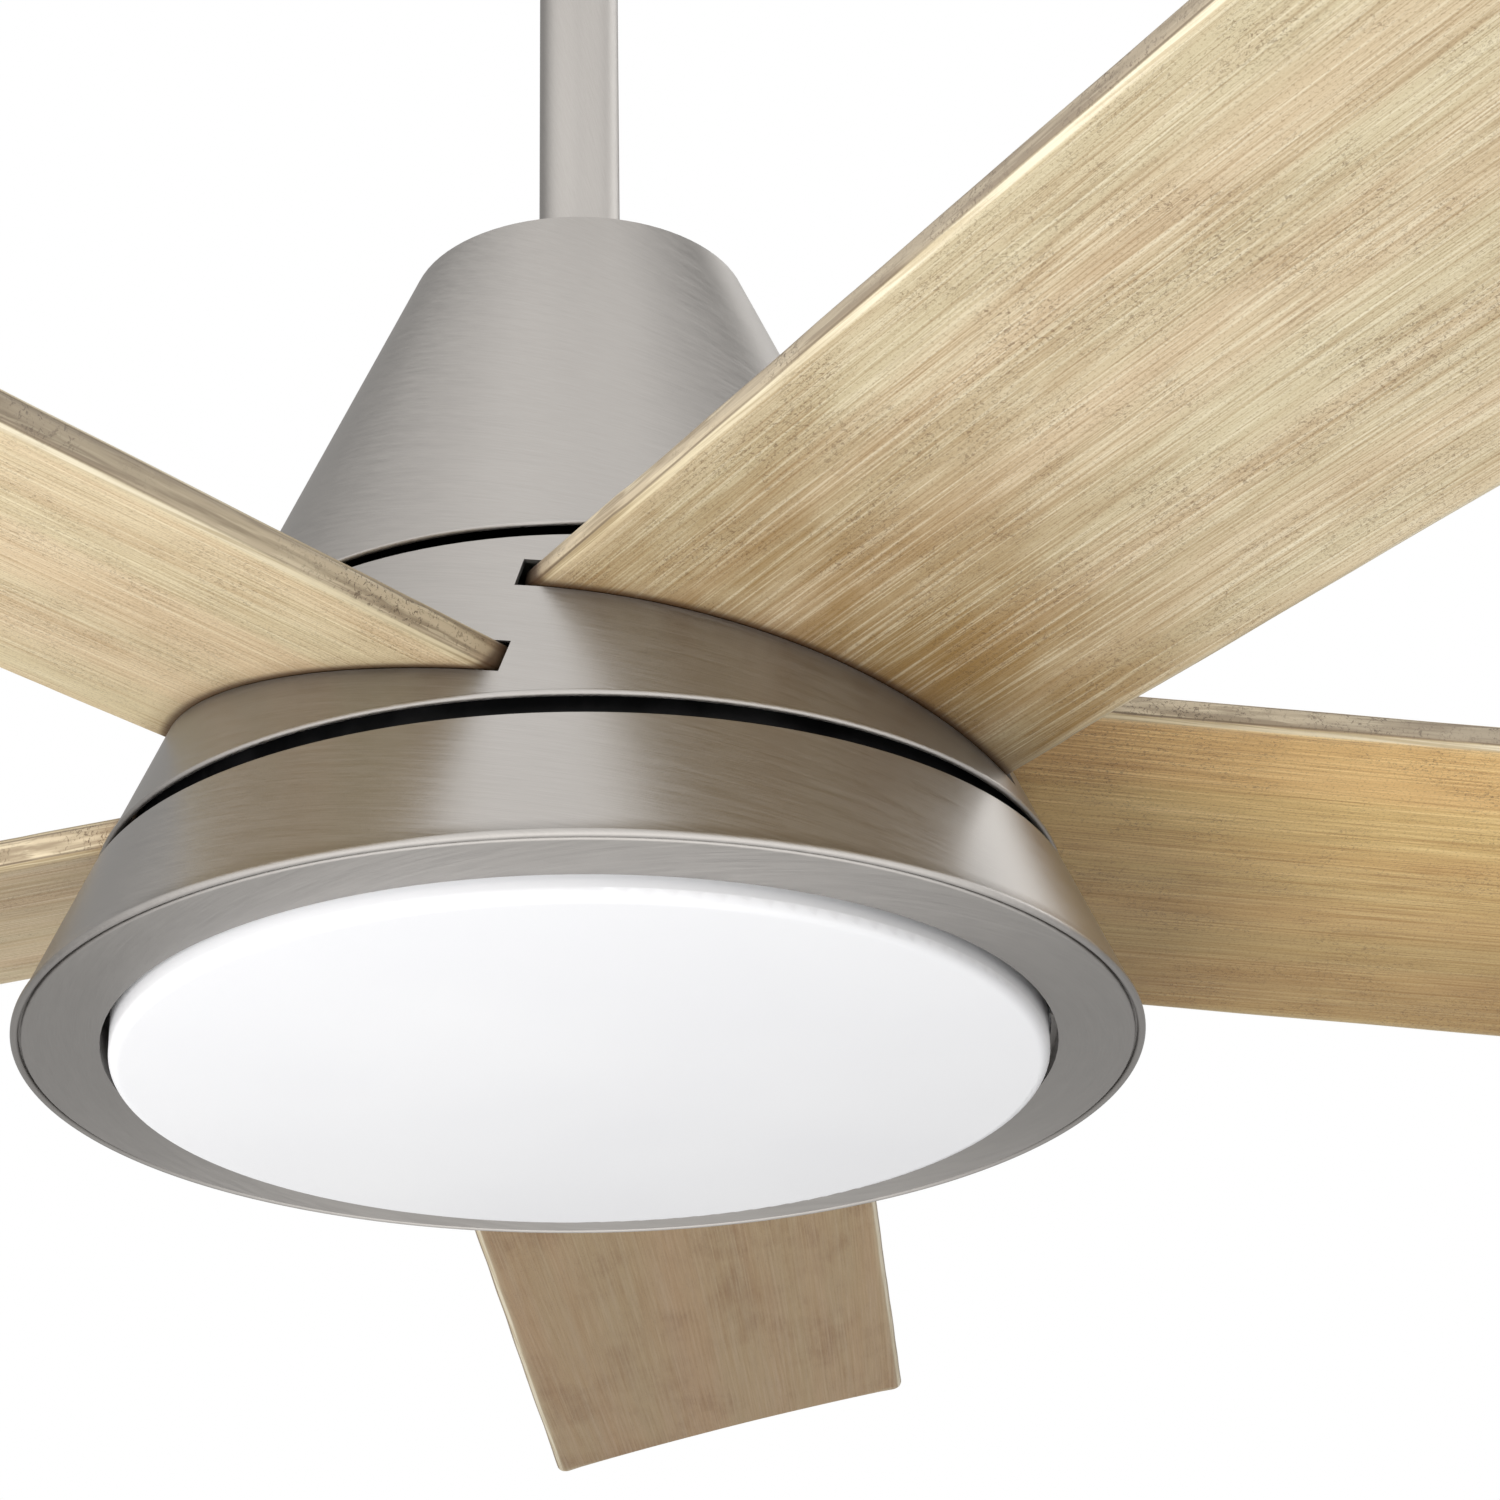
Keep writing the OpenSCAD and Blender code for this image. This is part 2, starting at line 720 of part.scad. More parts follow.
module motor_bottom_cover() {
    plate_t = 4;
    bearing_end = lv_low_bearing + bearing_w;
    color(dark_metal) body_level() difference() {
        union() {
            rotate_extrude($fn = 96) polygon([
                [shoulder_r, lv_motor],
                [motor_r, lv_motor],
                [motor_r, lv_split],
                [motor_r - motor_wall, lv_split],
                [motor_r - motor_wall, lv_motor + plate_t],
                [bearing_boss_r, lv_motor + plate_t],
                [bearing_boss_r, bearing_end],
                [bearing_r + fit_gap, bearing_end],
                [bearing_r + fit_gap, lv_low_bearing],
                [shoulder_r, lv_low_bearing]
            ]);
            cover_lugs(lv_split - lug_step - lug_h);
        }
        around(5, 10) translate([lug_pcr, 0, lv_split - 7])
            cylinder(r = 2 + fit_gap, h = 8, $fn = few);
        around(5, blade_az + 36) translate([hub_screw_pcr, 0, lv_motor - 1])
            cylinder(r = 2.5 + fit_gap, h = plate_t + 2, $fn = few);
    }
}

module motor_top_cover() {
    plate_t = 4;
    bearing_end = lv_up_bearing + bearing_w;
    color(dark_metal) body_level() difference() {
        union() {
            rotate_extrude($fn = 96) polygon([
                [shoulder_r, bearing_end],
                [bearing_r + fit_gap, bearing_end],
                [bearing_r + fit_gap, lv_up_bearing],
                [bearing_boss_r, lv_up_bearing],
                [bearing_boss_r, lv_motor_top - plate_t],
                [motor_r - motor_wall, lv_motor_top - plate_t],
                [motor_r - motor_wall, lv_split],
                [motor_r, lv_split],
                [motor_r, lv_motor_top],
                [bearing_boss_r, lv_motor_top],
                [bearing_boss_r, bearing_end + 2],
                [shoulder_r, bearing_end + 2]
            ]);
            cover_lugs(lv_split + lug_step);
        }
        around(5, 10) translate([lug_pcr, 0, lv_split - 1]) cylinder(r = 2.2, h = 8, $fn = few);
        around(10, 18) translate([32, -2.5, lv_motor_top - plate_t - 1]) cube([26, 5, plate_t + 2]);
    }
}

module motor_screws() {
    color(zinc) body_level() around(5, 10) translate([lug_pcr, 0, lv_split + lug_step + lug_h])
        rotate([180, 0, 0]) screw(2, 11, 3.6, 2.4);
}

module back_iron() {
    color(zinc) body_level()
        tube(motor_r - motor_wall - fit_gap, iron_r_in, 32, lv_stator - 6, 96);
}

module magnets() {
    color(dark_metal) body_level() around(magnet_count) translate([0, 0, lv_stator - 2])
        sector(magnet_r_in, magnet_r_out, 15, stator_h + 4);
}

// Sealed ball bearing seen from outside: two races and the recessed shields between them
module bearing(lv) {
    race = 2.6;
    dish = 0.6;
    color(zinc) body_level() difference() {
        tube(bearing_r, shaft_r + fit_gap, bearing_w, lv);
        for (z = [lv - 1, lv + bearing_w - dish])
            tube(bearing_r - race, shaft_r + race, 1 + dish, z);
    }
}

module upper_bearing() {
    bearing(lv_up_bearing);
}

module lower_bearing() {
    bearing(lv_low_bearing);
}

// ---- Hub, ring and blades ----

module blade_hub() {
    pad_u0 = 54;
    pad_u1 = 90;
    pad_w = 29;
    color(dark_metal) body_level() difference() {
        union() {
            translate([0, 0, lv_hub]) cylinder(r = hub_r, h = hub_t, $fn = fine);
            intersection() {
                all_blade_frames() translate([pad_u0, -pad_w, blade_t])
                    cube([pad_u1 - pad_u0, 2 * pad_w, 50]);
                translate([0, 0, lv_blade - 20]) cylinder(r = hub_r, h = lv_hub - lv_blade + 21, $fn = mid);
            }
        }
        translate([0, 0, lv_hub - 1]) cylinder(r = hub_bore_r, h = hub_t + 2, $fn = mid);
        around(5, blade_az + 36) {
            translate([hub_screw_pcr, 0, lv_hub - 1]) cylinder(r = 2.7, h = hub_t + 2, $fn = few);
            translate([hub_window_pcr, 0, lv_hub - 1]) cylinder(r = hub_window_r, h = hub_t + 2, $fn = few);
            translate([ring_screw_r, 0, lv_hub - 1]) cylinder(r = 2 + fit_gap, h = hub_t + 2, $fn = few);
        }
        all_blade_frames() for (p = blade_screw_uv) translate([p[0], p[1], blade_t - 1])
            cylinder(r = 2.5 + fit_gap, h = 10, $fn = few);
    }
}

module hub_screws() {
    color(zinc) body_level() around(5, blade_az + 36) translate([hub_screw_pcr, 0, lv_hub])
        screw(2.5, hub_t + 3.5, 4.6, 3);
}

// Middle of a slot's end on the cone, in the blade frame, for an end v off the board's centre line
function slot_end(v) =
    let (lv = lv_blade - v * sin(blade_pitch) + blade_t / 2 * cos(blade_pitch),
         aside = v * cos(blade_pitch) + blade_t / 2 * sin(blade_pitch))
    [sqrt(pow(cone_r(lv), 2) - pow(aside, 2)), v];

// Direction square to the cone at a slot's end, seen square to the board
function slot_end_way(v) =
    let (end = slot_end(v), tilt = atan(cone_k), turn = atan2(v * cos(blade_pitch), end[0]))
    [cos(tilt) * cos(turn), cos(tilt) * sin(turn) * cos(blade_pitch) - sin(tilt) * sin(blade_pitch)];

// Cutter of one blade's slot. Its ends are punched square to the cone
module slot_cutter() {
    reach_in = 8;
    reach_out = 45;
    lead_v = -lead_w - slot_lead_play;
    trail_v = trail_w + slot_trail_play;
    translate([0, 0, -slot_play]) linear_extrude(height = blade_t + 2 * slot_play) polygon([
        slot_end(lead_v) - reach_in * slot_end_way(lead_v),
        slot_end(lead_v) + reach_out * slot_end_way(lead_v),
        slot_end(trail_v) + reach_out * slot_end_way(trail_v),
        slot_end(trail_v) - reach_in * slot_end_way(trail_v)]);
}

module blade_ring() {
    color(nickel) body_level() difference() {
        rotate_extrude($fn = fine) {
            cone_wall(lv_ring_bottom + ring_bead_r, lv_ring_top);
            translate([cone_r(lv_ring_bottom + ring_bead_r) - ring_bead_r + ring_bead_out,
                lv_ring_bottom + ring_bead_r]) circle(r = ring_bead_r, $fn = 32);
            translate([ring_flange_r, lv_flange])
                square([cone_r(lv_flange) - ring_flange_r - wall / 2, ring_flange_t]);
        }
        all_blade_frames() slot_cutter();
        around(5, blade_az + 36) translate([ring_screw_r, 0, lv_flange - 1])
            cylinder(r = 2.2, h = ring_flange_t + 2, $fn = few);
    }
}

module ring_screws() {
    color(zinc) body_level() around(5, blade_az + 36) translate([ring_screw_r, 0, lv_flange])
        screw(2, ring_flange_t + hub_t - 0.5, 3.6, 2.2);
}

// Half width of a board at radius u, on the side with width w at the slot
function blade_half(w, u) = w + blade_flare * (u - slot_u);

// Outline of a board, with a drawn-in tip that an arc through three points describes
module blade_outline() {
    lead_tip = blade_half(lead_w, tip_r);
    trail_tip = blade_half(trail_w, tip_r);
    chord = (lead_tip + trail_tip) / 2;
    bow_r = (chord * chord + tip_bow * tip_bow) / (2 * tip_bow);
    difference() {
        union() {
            polygon([
                [tongue_u0, -tongue_w],
                [tongue_u1, -tongue_w],
                [shoulder_lead_u, -blade_half(lead_w, shoulder_lead_u)],
                [tip_r - tip_corner_r, -lead_tip],
                [tip_r - tip_corner_r, trail_tip],
                [shoulder_trail_u, blade_half(trail_w, shoulder_trail_u)],
                [tongue_u1, tongue_w],
                [tongue_u0, tongue_w]
            ]);
            translate([tip_r - tip_corner_r - 1, -lead_tip + tip_corner_r])
                square([tip_corner_r + 1, lead_tip + trail_tip - 2 * tip_corner_r]);
            for (y = [-lead_tip + tip_corner_r, trail_tip - tip_corner_r])
                translate([tip_r - tip_corner_r, y]) circle(r = tip_corner_r, $fn = few);
        }
        translate([tip_r + bow_r - tip_bow, (trail_tip - lead_tip) / 2]) circle(r = bow_r, $fn = 256);
    }
}

// Cross-section of a board, rounded along both edges, at radius u
module board_section(u) {
    lead = blade_half(lead_w, u);
    trail = blade_half(trail_w, u);
    translate([u, 0, 0]) rotate([90, 0, 90]) linear_extrude(0.02) hull()
        for (y = [-lead + edge_r, trail - edge_r], z = [edge_r, blade_t - edge_r])
            translate([y, z]) circle(r = edge_r, $fn = 24);
}

module blade(i) {
    color(oak) body_level() blade_frame(i) difference() {
        intersection() {
            linear_extrude(blade_t) blade_outline();
            hull() {
                board_section(tongue_u0 - 2);
                board_section(tip_r + 2);
            }
        }
        for (p = blade_screw_uv) translate([p[0], p[1], -1])
            cylinder(r = 2.75, h = blade_t + 2, $fn = few);
    }
}

module clamp_plates() {
    color(zinc) body_level() all_blade_frames() difference() {
        translate([54, -28, -clamp_t]) cube([34, 56, clamp_t]);
        for (p = blade_screw_uv) translate([p[0], p[1], -clamp_t - 1])
            cylinder(r = 2.75, h = clamp_t + 2, $fn = few);
    }
}

module blade_screws() {
    color(zinc) body_level() all_blade_frames() for (p = blade_screw_uv)
        translate([p[0], p[1], -clamp_t]) screw(2.5, clamp_t + blade_t + 8, 4.6, 3);
}

// ---- Lens ----

// Filled half-section of the lens, drawn in by an inset on every face
module lens_section(inset) {
    r = lens_r - inset;
    corner = lens_corner - inset;
    rim = -lens_rim + inset;
    dome_a = r - corner;
    dome_r = (dome_a * dome_a + lens_dome * lens_dome) / (2 * lens_dome);
    translate([0, rim + corner]) square([r, lens_top + (inset > 0 ? 1 : 0) - rim - corner]);
    translate([0, rim]) square([dome_a, corner + 1]);
    translate([dome_a, rim + corner]) circle(r = corner, $fn = 32);
    intersection() {
        translate([0, rim - lens_dome]) square([dome_a, lens_dome + 0.1]);
        translate([0, rim - lens_dome + dome_r]) circle(r = dome_r, $fn = 1024);
    }
}

module lens() {
    color(opal) body_level() {
        rotate_extrude($fn = fine) difference() {
            lens_section(0);
            lens_section(lens_t);
        }
        around(3) translate([0, 0, lv_lug + lug_t + 0.3])
            sector(lens_r - 0.5, tab_r, tab_angle, 2);
    }
}

hanger_bracket();
canopy();
canopy_screws();
receiver();
ball_seat();
hanger_ball();
ball_pin();
ball_set_screw();
downrod();
rod_coupling();
clevis_pin();
cotter_pin();
coupling_set_screws();
upper_housing();
housing_screws();
motor_shaft();
shaft_circlips();
wave_washer();
stator_core();
stator_windings();
motor_board();
light_base();
shaft_nuts();
light_skirt();
skirt_screws();
face_ring();
face_screws();
led_plate();
standoffs();
led_plate_screws();
led_board();
leds();
led_driver();
lead_wires();
wire_plug();
motor_top_cover();
motor_bottom_cover();
motor_screws();
back_iron();
magnets();
upper_bearing();
lower_bearing();
blade_hub();
hub_screws();
blade_ring();
ring_screws();
blade(0);  // blade_1
blade(1);  // blade_2
blade(2);  // blade_3
blade(3);  // blade_4
blade(4);  // blade_5
clamp_plates();
blade_screws();
lens();
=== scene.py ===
import json
import math

import bmesh
import bpy
from mathutils import Matrix, Vector, noise


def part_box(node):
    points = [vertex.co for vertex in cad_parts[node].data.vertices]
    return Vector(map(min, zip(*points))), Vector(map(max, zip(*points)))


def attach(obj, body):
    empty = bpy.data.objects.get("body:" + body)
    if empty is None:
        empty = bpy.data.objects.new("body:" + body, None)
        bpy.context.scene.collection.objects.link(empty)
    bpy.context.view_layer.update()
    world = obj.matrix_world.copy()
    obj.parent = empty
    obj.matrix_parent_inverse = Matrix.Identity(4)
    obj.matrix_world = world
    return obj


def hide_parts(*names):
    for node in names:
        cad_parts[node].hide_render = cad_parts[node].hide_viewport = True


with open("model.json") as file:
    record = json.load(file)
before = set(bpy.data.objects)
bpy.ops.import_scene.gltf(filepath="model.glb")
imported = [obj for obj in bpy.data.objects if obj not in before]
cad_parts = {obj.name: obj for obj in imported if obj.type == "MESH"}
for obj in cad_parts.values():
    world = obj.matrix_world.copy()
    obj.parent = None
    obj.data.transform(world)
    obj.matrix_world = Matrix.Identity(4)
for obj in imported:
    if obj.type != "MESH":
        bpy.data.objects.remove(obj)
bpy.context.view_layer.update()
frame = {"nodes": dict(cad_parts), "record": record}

MM = 0.001

# Blades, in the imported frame. A board's own X runs outward, Y to its low trailing edge and
# Z up through it
BLADE_COUNT = 5
BLADE_AZIMUTH = math.radians(-59.6)
BLADE_PITCH = math.radians(12.2)
BLADE_THICK = 10 * MM
BLADE_TIP = 738 * MM
BLADE_FLARE = 0.0185
SLOT_RADIUS = 110 * MM
LEAD_HALF = 77.2 * MM
TRAIL_HALF = 74.6 * MM
TIP_BOW = 7 * MM
TIP_CORNER = 5 * MM
EDGE_ROUND = 3.4 * MM
TONGUE_START = 52 * MM
TONGUE_END = 90 * MM
TONGUE_HALF = 31 * MM
SHOULDER_LEAD = 96 * MM
SHOULDER_TRAIL = 111 * MM
SCREW_PLACES = ((62 * MM, 0), (80 * MM, -19 * MM), (80 * MM, 19 * MM))
SCREW_HOLE = 2.75 * MM

# How finely a board's outline is divided, and how it is worn
SIDE_STEPS = 90
TIP_STEPS = 24
TONGUE_STEPS = 4
CORNER_POINTS = 7
EDGE_SEGMENTS = 6
SCREW_SIDES = 32
WORN_FROM = SHOULDER_TRAIL + 40 * MM
WORN_TOWARD = BLADE_TIP - 40 * MM
WEAR_DEPTH = 0.35 * MM
WEAR_PER_METRE = 26
WEAR_SEED_STEP = 9.1

# Each board's tint, how brown it is near the ring from stain and painted shade, how blotched
# all over, how much painted shade darkens its trailing side, and how sharply its grain shows
BOARD_TONES = (
    ((1.0, 1.01, 1.03), 0.85, 0.4, 0.0, 0.75),
    ((1.22, 1.0, 0.62), 0.2, 0.5, 0.5, 0.75),
    ((0.63, 0.52, 0.42), 0.1, 0.75, 0.08, 0.35),
    ((0.95, 0.92, 0.88), 0.3, 0.45, 0.1, 0.75),
    ((1.16, 1.16, 1.16), 0.0, 0.3, 0.0, 0.65),
)

LIGHT_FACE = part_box("face_ring")[0].z
BLADE_LEVEL = LIGHT_FACE + 77.4 * MM
CONE_FOOT = 167.5 * MM
CONE_TAPER = 112.9 / 263

# Light skirt, by height above the light face
SKIRT_TOP = 43.8 * MM
SKIRT_SIDES = 288
SKIRT_BODY = "fan_frame"
WALL = 1.8 * MM
LIP_RADIUS = 1.2 * MM
LIP_STANDS_OUT = 0.3 * MM
LIP_END = 2.4 * MM
LEDGE_LEVEL = 1.6 * MM
LEDGE_THICK = 1.4 * MM
LEDGE_INNER = 156 * MM
FLANGE_THICK = 1.6 * MM
FLANGE_INNER = 129 * MM
LIP_BEGINS = 50          # degrees above level, on the outer side of the lip's round
LIP_SWEEP = 230          # degrees, down and inward
LIP_STEPS = 24
WALL_STEPS = 12
CREASE = math.radians(50)

# Slant of the brush strokes: how far they rise from the middle of the work to its side
BRUSH_SLANT = 50 * MM
NEAREST_AXIS = 1e-5      # keeps a radius off zero on the axis, in metres

# Camera, at the place and angle from which the fan is seen
CAMERA_PLACE = Vector((0.0, -1.003, -0.8901))
CAMERA_YAW = math.radians(2.99)
CAMERA_PITCH = math.radians(25.255)
CAMERA_ROLL = math.radians(-1.4445)
CAMERA_LENS = 85.81
SENSOR_WIDTH = 36.0
NEAREST_SEEN = 0.01

# Studio, in metres from the middle of the ceiling fitting
FLOOR_DROP = 6.2
FLOOR_HALF = 6.0
KEY_PLACE = (-0.65, -0.85, -1.35)
KEY_AIM = (0, 0, -0.45)
KEY_SIZE = 1.0
KEY_WATTS = 19


def srgb(red, green, blue):
    """A colour given as 0 to 255 display values, as linear light with alpha."""
    def linear(value):
        share = value / 255
        return share / 12.92 if share <= 0.04045 else ((share + 0.055) / 1.055) ** 2.4
    return (linear(red), linear(green), linear(blue), 1.0)


# ---- A small language for shader nodes ----

class Value:
    """A shader socket that takes part in ordinary arithmetic."""

    def __init__(self, graph, socket):
        self.graph = graph
        self.socket = socket

    def _math(self, kind, *others):
        node = self.graph.add("ShaderNodeMath", operation=kind)
        for i, item in enumerate((self, *others)):
            self.graph.feed(node.inputs[i], item)
        return Value(self.graph, node.outputs[0])

    def __add__(self, other):
        return self._math("ADD", other)

    def __sub__(self, other):
        return self._math("SUBTRACT", other)

    def __mul__(self, other):
        return self._math("MULTIPLY", other)

    def __truediv__(self, other):
        return self._math("DIVIDE", other)

    def root(self):
        return self._math("SQRT")

    def size(self):
        return self._math("ABSOLUTE")

    def least(self, other):
        return self._math("MINIMUM", other)

    def most(self, other):
        return self._math("MAXIMUM", other)

    def between(self, low, high, start=0.0, end=1.0):
        """start below low, end above high, and a smooth step between them."""
        node = self.graph.add("ShaderNodeMapRange", interpolation_type="SMOOTHSTEP")
        for place, item in zip(("Value", "From Min", "From Max", "To Min", "To Max"),
                               (self, low, high, start, end)):
            self.graph.feed(node.inputs[place], item)
        return Value(self.graph, node.outputs[0])


class Graph:
    """The node tree of one material or world."""

    def __init__(self, tree):
        self.tree = tree
        tree.nodes.clear()

    def add(self, kind, **settings):
        node = self.tree.nodes.new(kind)
        for name, value in settings.items():
            setattr(node, name, value)
        return node

    def feed(self, socket, item):
        if isinstance(item, Value):
            self.tree.links.new(item.socket, socket)
        else:
            socket.default_value = item

    def vector(self, x, y, z):
        node = self.add("ShaderNodeCombineXYZ")
        for i, item in enumerate((x, y, z)):
            self.feed(node.inputs[i], item)
        return Value(self, node.outputs[0])

    def parts(self, vector):
        node = self.add("ShaderNodeSeparateXYZ")
        self.feed(node.inputs[0], vector)
        return [Value(self, out) for out in node.outputs]

    def coordinates(self, kind="Object"):
        return Value(self, self.add("ShaderNodeTexCoord").outputs[kind])

    def noise(self, vector, scale=1.0, detail=3.0, rough=0.5, warp=0.0):
        node = self.add("ShaderNodeTexNoise")
        for place, item in (("Vector", vector), ("Scale", scale), ("Detail", detail),
                            ("Roughness", rough), ("Distortion", warp)):
            self.feed(node.inputs[place], item)
        return Value(self, node.outputs["Fac"])

    def mix(self, share, first, second, blend="MIX"):
        node = self.add("ShaderNodeMix", data_type="RGBA", blend_type=blend)
        self.feed(node.inputs["Factor"], share)
        self.feed(node.inputs[6], first)
        self.feed(node.inputs[7], second)
        return Value(self, node.outputs[2])

    def coats(self, base, *layers):
        """base under coats of colour. Each layer is (how much of it shows, its colour)."""
        for share, colour in layers:
            base = self.mix(share, base, colour)
        return base

    def bump(self, height, strength, distance):
        node = self.add("ShaderNodeBump")
        node.inputs["Strength"].default_value = strength
        node.inputs["Distance"].default_value = distance
        self.feed(node.inputs["Height"], height)
        return Value(self, node.outputs[0])

    def surface(self, **sockets):
        """The finished shader. Names are the shader's own sockets, with _ for a space."""
        shader = self.add("ShaderNodeBsdfPrincipled")
        output = self.add("ShaderNodeOutputMaterial")
        for name, item in sockets.items():
            self.feed(shader.inputs[name.replace("_", " ")], item)
        self.tree.links.new(shader.outputs[0], output.inputs["Surface"])


def new_material(name):
    material = bpy.data.materials.new(name)
    material.use_nodes = True
    return material, Graph(material.node_tree)


# ---- Metals ----

def brushed_round(name, dark, light, roughness):
    """Metal brushed round the fan's axis, with fine streaks that follow the turning direction."""
    material, g = new_material(name)
    x, y, z = g.parts(g.coordinates())
    radius = (x * x + y * y).root().most(NEAREST_AXIS)
    level = radius - z
    across = x / radius
    ahead = y / radius
    slanted = level - across * BRUSH_SLANT

    def strokes(round_scale, height, height_scale, **shape):
        place = g.vector(across * round_scale, ahead * round_scale, height * height_scale)
        return g.noise(place, **shape)

    fine = strokes(11.0, slanted, 2300.0, detail=4.0, rough=0.65)
    broad = strokes(3.0, slanted, 420.0, detail=4.0, rough=0.6)
    cloud = strokes(1.3, level, 9.0, detail=2.0)
    tone = fine * 0.6 + broad * 0.25 + cloud * 0.15
    tangent = g.add("ShaderNodeTangent", direction_type="RADIAL", axis="Z")
    g.surface(
        Base_Color=g.mix(tone.between(0.3, 0.7), dark, light),
        Metallic=1.0,
        Roughness=(fine * 0.7 + broad * 0.3).between(
            0.3, 0.7, roughness * 0.88, roughness * 1.14),
        Anisotropic=0.75,
        Anisotropic_Rotation=0.25,
        Tangent=Value(g, tangent.outputs[0]),
        Normal=g.bump(fine * 0.75 + broad * 0.25, 0.8, 0.00008),
    )
    return material


def plated_steel(name, dark, light, roughness):
    """Plain plated or machined metal with faint tool marks and handling stains."""
    material, g = new_material(name)
    place = g.coordinates()
    marks = g.noise(place, scale=420.0, detail=4.0, rough=0.7)
    stain = g.noise(place, scale=60.0, detail=3.0, warp=0.4)
    g.surface(
        Base_Color=g.mix((marks * 0.4 + stain * 0.6).between(0.35, 0.65), dark, light),
        Metallic=1.0,
        Roughness=stain.between(0.3, 0.7, roughness * 0.8, roughness * 1.3),
        Normal=g.bump(marks, 0.15, 0.0001),
    )
    return material


def layered_steel(name):
    """Stacked stampings: thin level lines across bare steel."""
    material, g = new_material(name)
    x, y, z = g.parts(g.coordinates())
    sheets = g.noise(g.vector(x * 3.0, y * 3.0, z * 2200.0), detail=1.0)
    stain = g.noise(g.vector(x, y, z), scale=55.0, detail=3.0)
    shade = sheets * 0.6 + stain * 0.4
    g.surface(
        Base_Color=g.mix(shade.between(0.35, 0.65), srgb(92, 94, 98), srgb(150, 152, 156)),
        Metallic=1.0,
        Roughness=stain.between(0.3, 0.7, 0.35, 0.55),
        Normal=g.bump(sheets, 0.3, 0.0002),
    )
    return material


def cast_enamel(name, dark, light):
    """Satin enamel over cast metal, with the fine orange-peel of the casting under it."""
    material, g = new_material(name)
    place = g.coordinates()
    peel = g.noise(place, scale=650.0, detail=3.0, rough=0.6)
    dust = g.noise(place, scale=38.0, detail=4.0, rough=0.6)
    g.surface(
        Base_Color=g.mix(dust.between(0.4, 0.7), dark, light),
        Metallic=0.0,
        Roughness=dust.between(0.3, 0.7, 0.36, 0.52),
        Specular_IOR_Level=0.25,
        Normal=g.bump(peel, 0.25, 0.00015),
    )
    return material


def wound_copper(name):
    """Enamelled wire laid turn by turn."""
    material, g = new_material(name)
    x, y, z = g.parts(g.coordinates())
    wires = g.add("ShaderNodeTexWave", wave_type="BANDS", bands_direction="Z", wave_profile="SIN")
    g.feed(wires.inputs["Vector"], g.vector(x, y, z))
    wires.inputs["Scale"].default_value = 260.0
    wires.inputs["Distortion"].default_value = 0.6
    turn = Value(g, wires.outputs["Fac"])
    stain = g.noise(g.vector(x, y, z), scale=90.0, detail=3.0)
    tone = turn * 0.6 + stain * 0.4
    g.surface(
        Base_Color=g.mix(tone.between(0.2, 0.8), srgb(110, 52, 20), srgb(214, 130, 74)),
        Metallic=0.9,
        Roughness=stain.between(0.3, 0.7, 0.25, 0.4),
        Coat_Weight=0.4,
        Coat_Roughness=0.15,
        Normal=g.bump(turn, 0.6, 0.0004),
    )
    return material


# ---- Plastics, board and lens ----

def moulded(name, dark, light, roughness):
    """Moulded plastic with a fine spark-eroded texture."""
    material, g = new_material(name)
    place = g.coordinates()
    peel = g.noise(place, scale=900.0, detail=3.0, rough=0.6)
    shade = g.noise(place, scale=25.0, detail=3.0)
    g.surface(
        Base_Color=g.mix(shade.between(0.35, 0.7), dark, light),
        Roughness=shade.between(0.3, 0.7, roughness * 0.85, roughness * 1.15),
        Normal=g.bump(peel, 0.2, 0.0001),
    )
    return material


def circuit_board(name, dark, light):
    """Solder mask over copper tracks, which stand up a little under it."""
    material, g = new_material(name)
    cells = g.add("ShaderNodeTexVoronoi", feature="DISTANCE_TO_EDGE", distance="CHEBYCHEV")
    g.feed(cells.inputs["Vector"], g.coordinates())
    cells.inputs["Scale"].default_value = 110.0
    track = Value(g, cells.outputs["Distance"]).between(0.04, 0.1)
    fleck = g.noise(g.coordinates(), scale=240.0, detail=2.0)
    g.surface(
        Base_Color=g.mix(track * 0.7 + fleck * 0.3, dark, light),
        Roughness=fleck.between(0.3, 0.7, 0.3, 0.42),
        Normal=g.bump(track, 0.3, 0.0002),
    )
    return material


def opal_acrylic(name):
    """Frosted diffuser: light enters, scatters and leaves softly, under a faint matt skin."""
    material, g = new_material(name)
    place = g.coordinates()
    frost = g.noise(place, scale=1400.0, detail=2.0)
    flow = g.noise(place, scale=7.0, detail=2.0)
    g.surface(
        Base_Color=g.mix(flow.between(0.3, 0.7), srgb(233, 233, 235), srgb(238, 238, 239)),
        Roughness=frost.between(0.3, 0.7, 0.38, 0.46),
        IOR=1.49,
        Specular_IOR_Level=0.15,
        Subsurface_Weight=0.2,
        Subsurface_Radius=(1.0, 1.0, 1.0),
        Subsurface_Scale=0.004,
        Normal=g.bump(frost, 0.05, 0.00005),
    )
    return material


# ---- Weathered oak ----

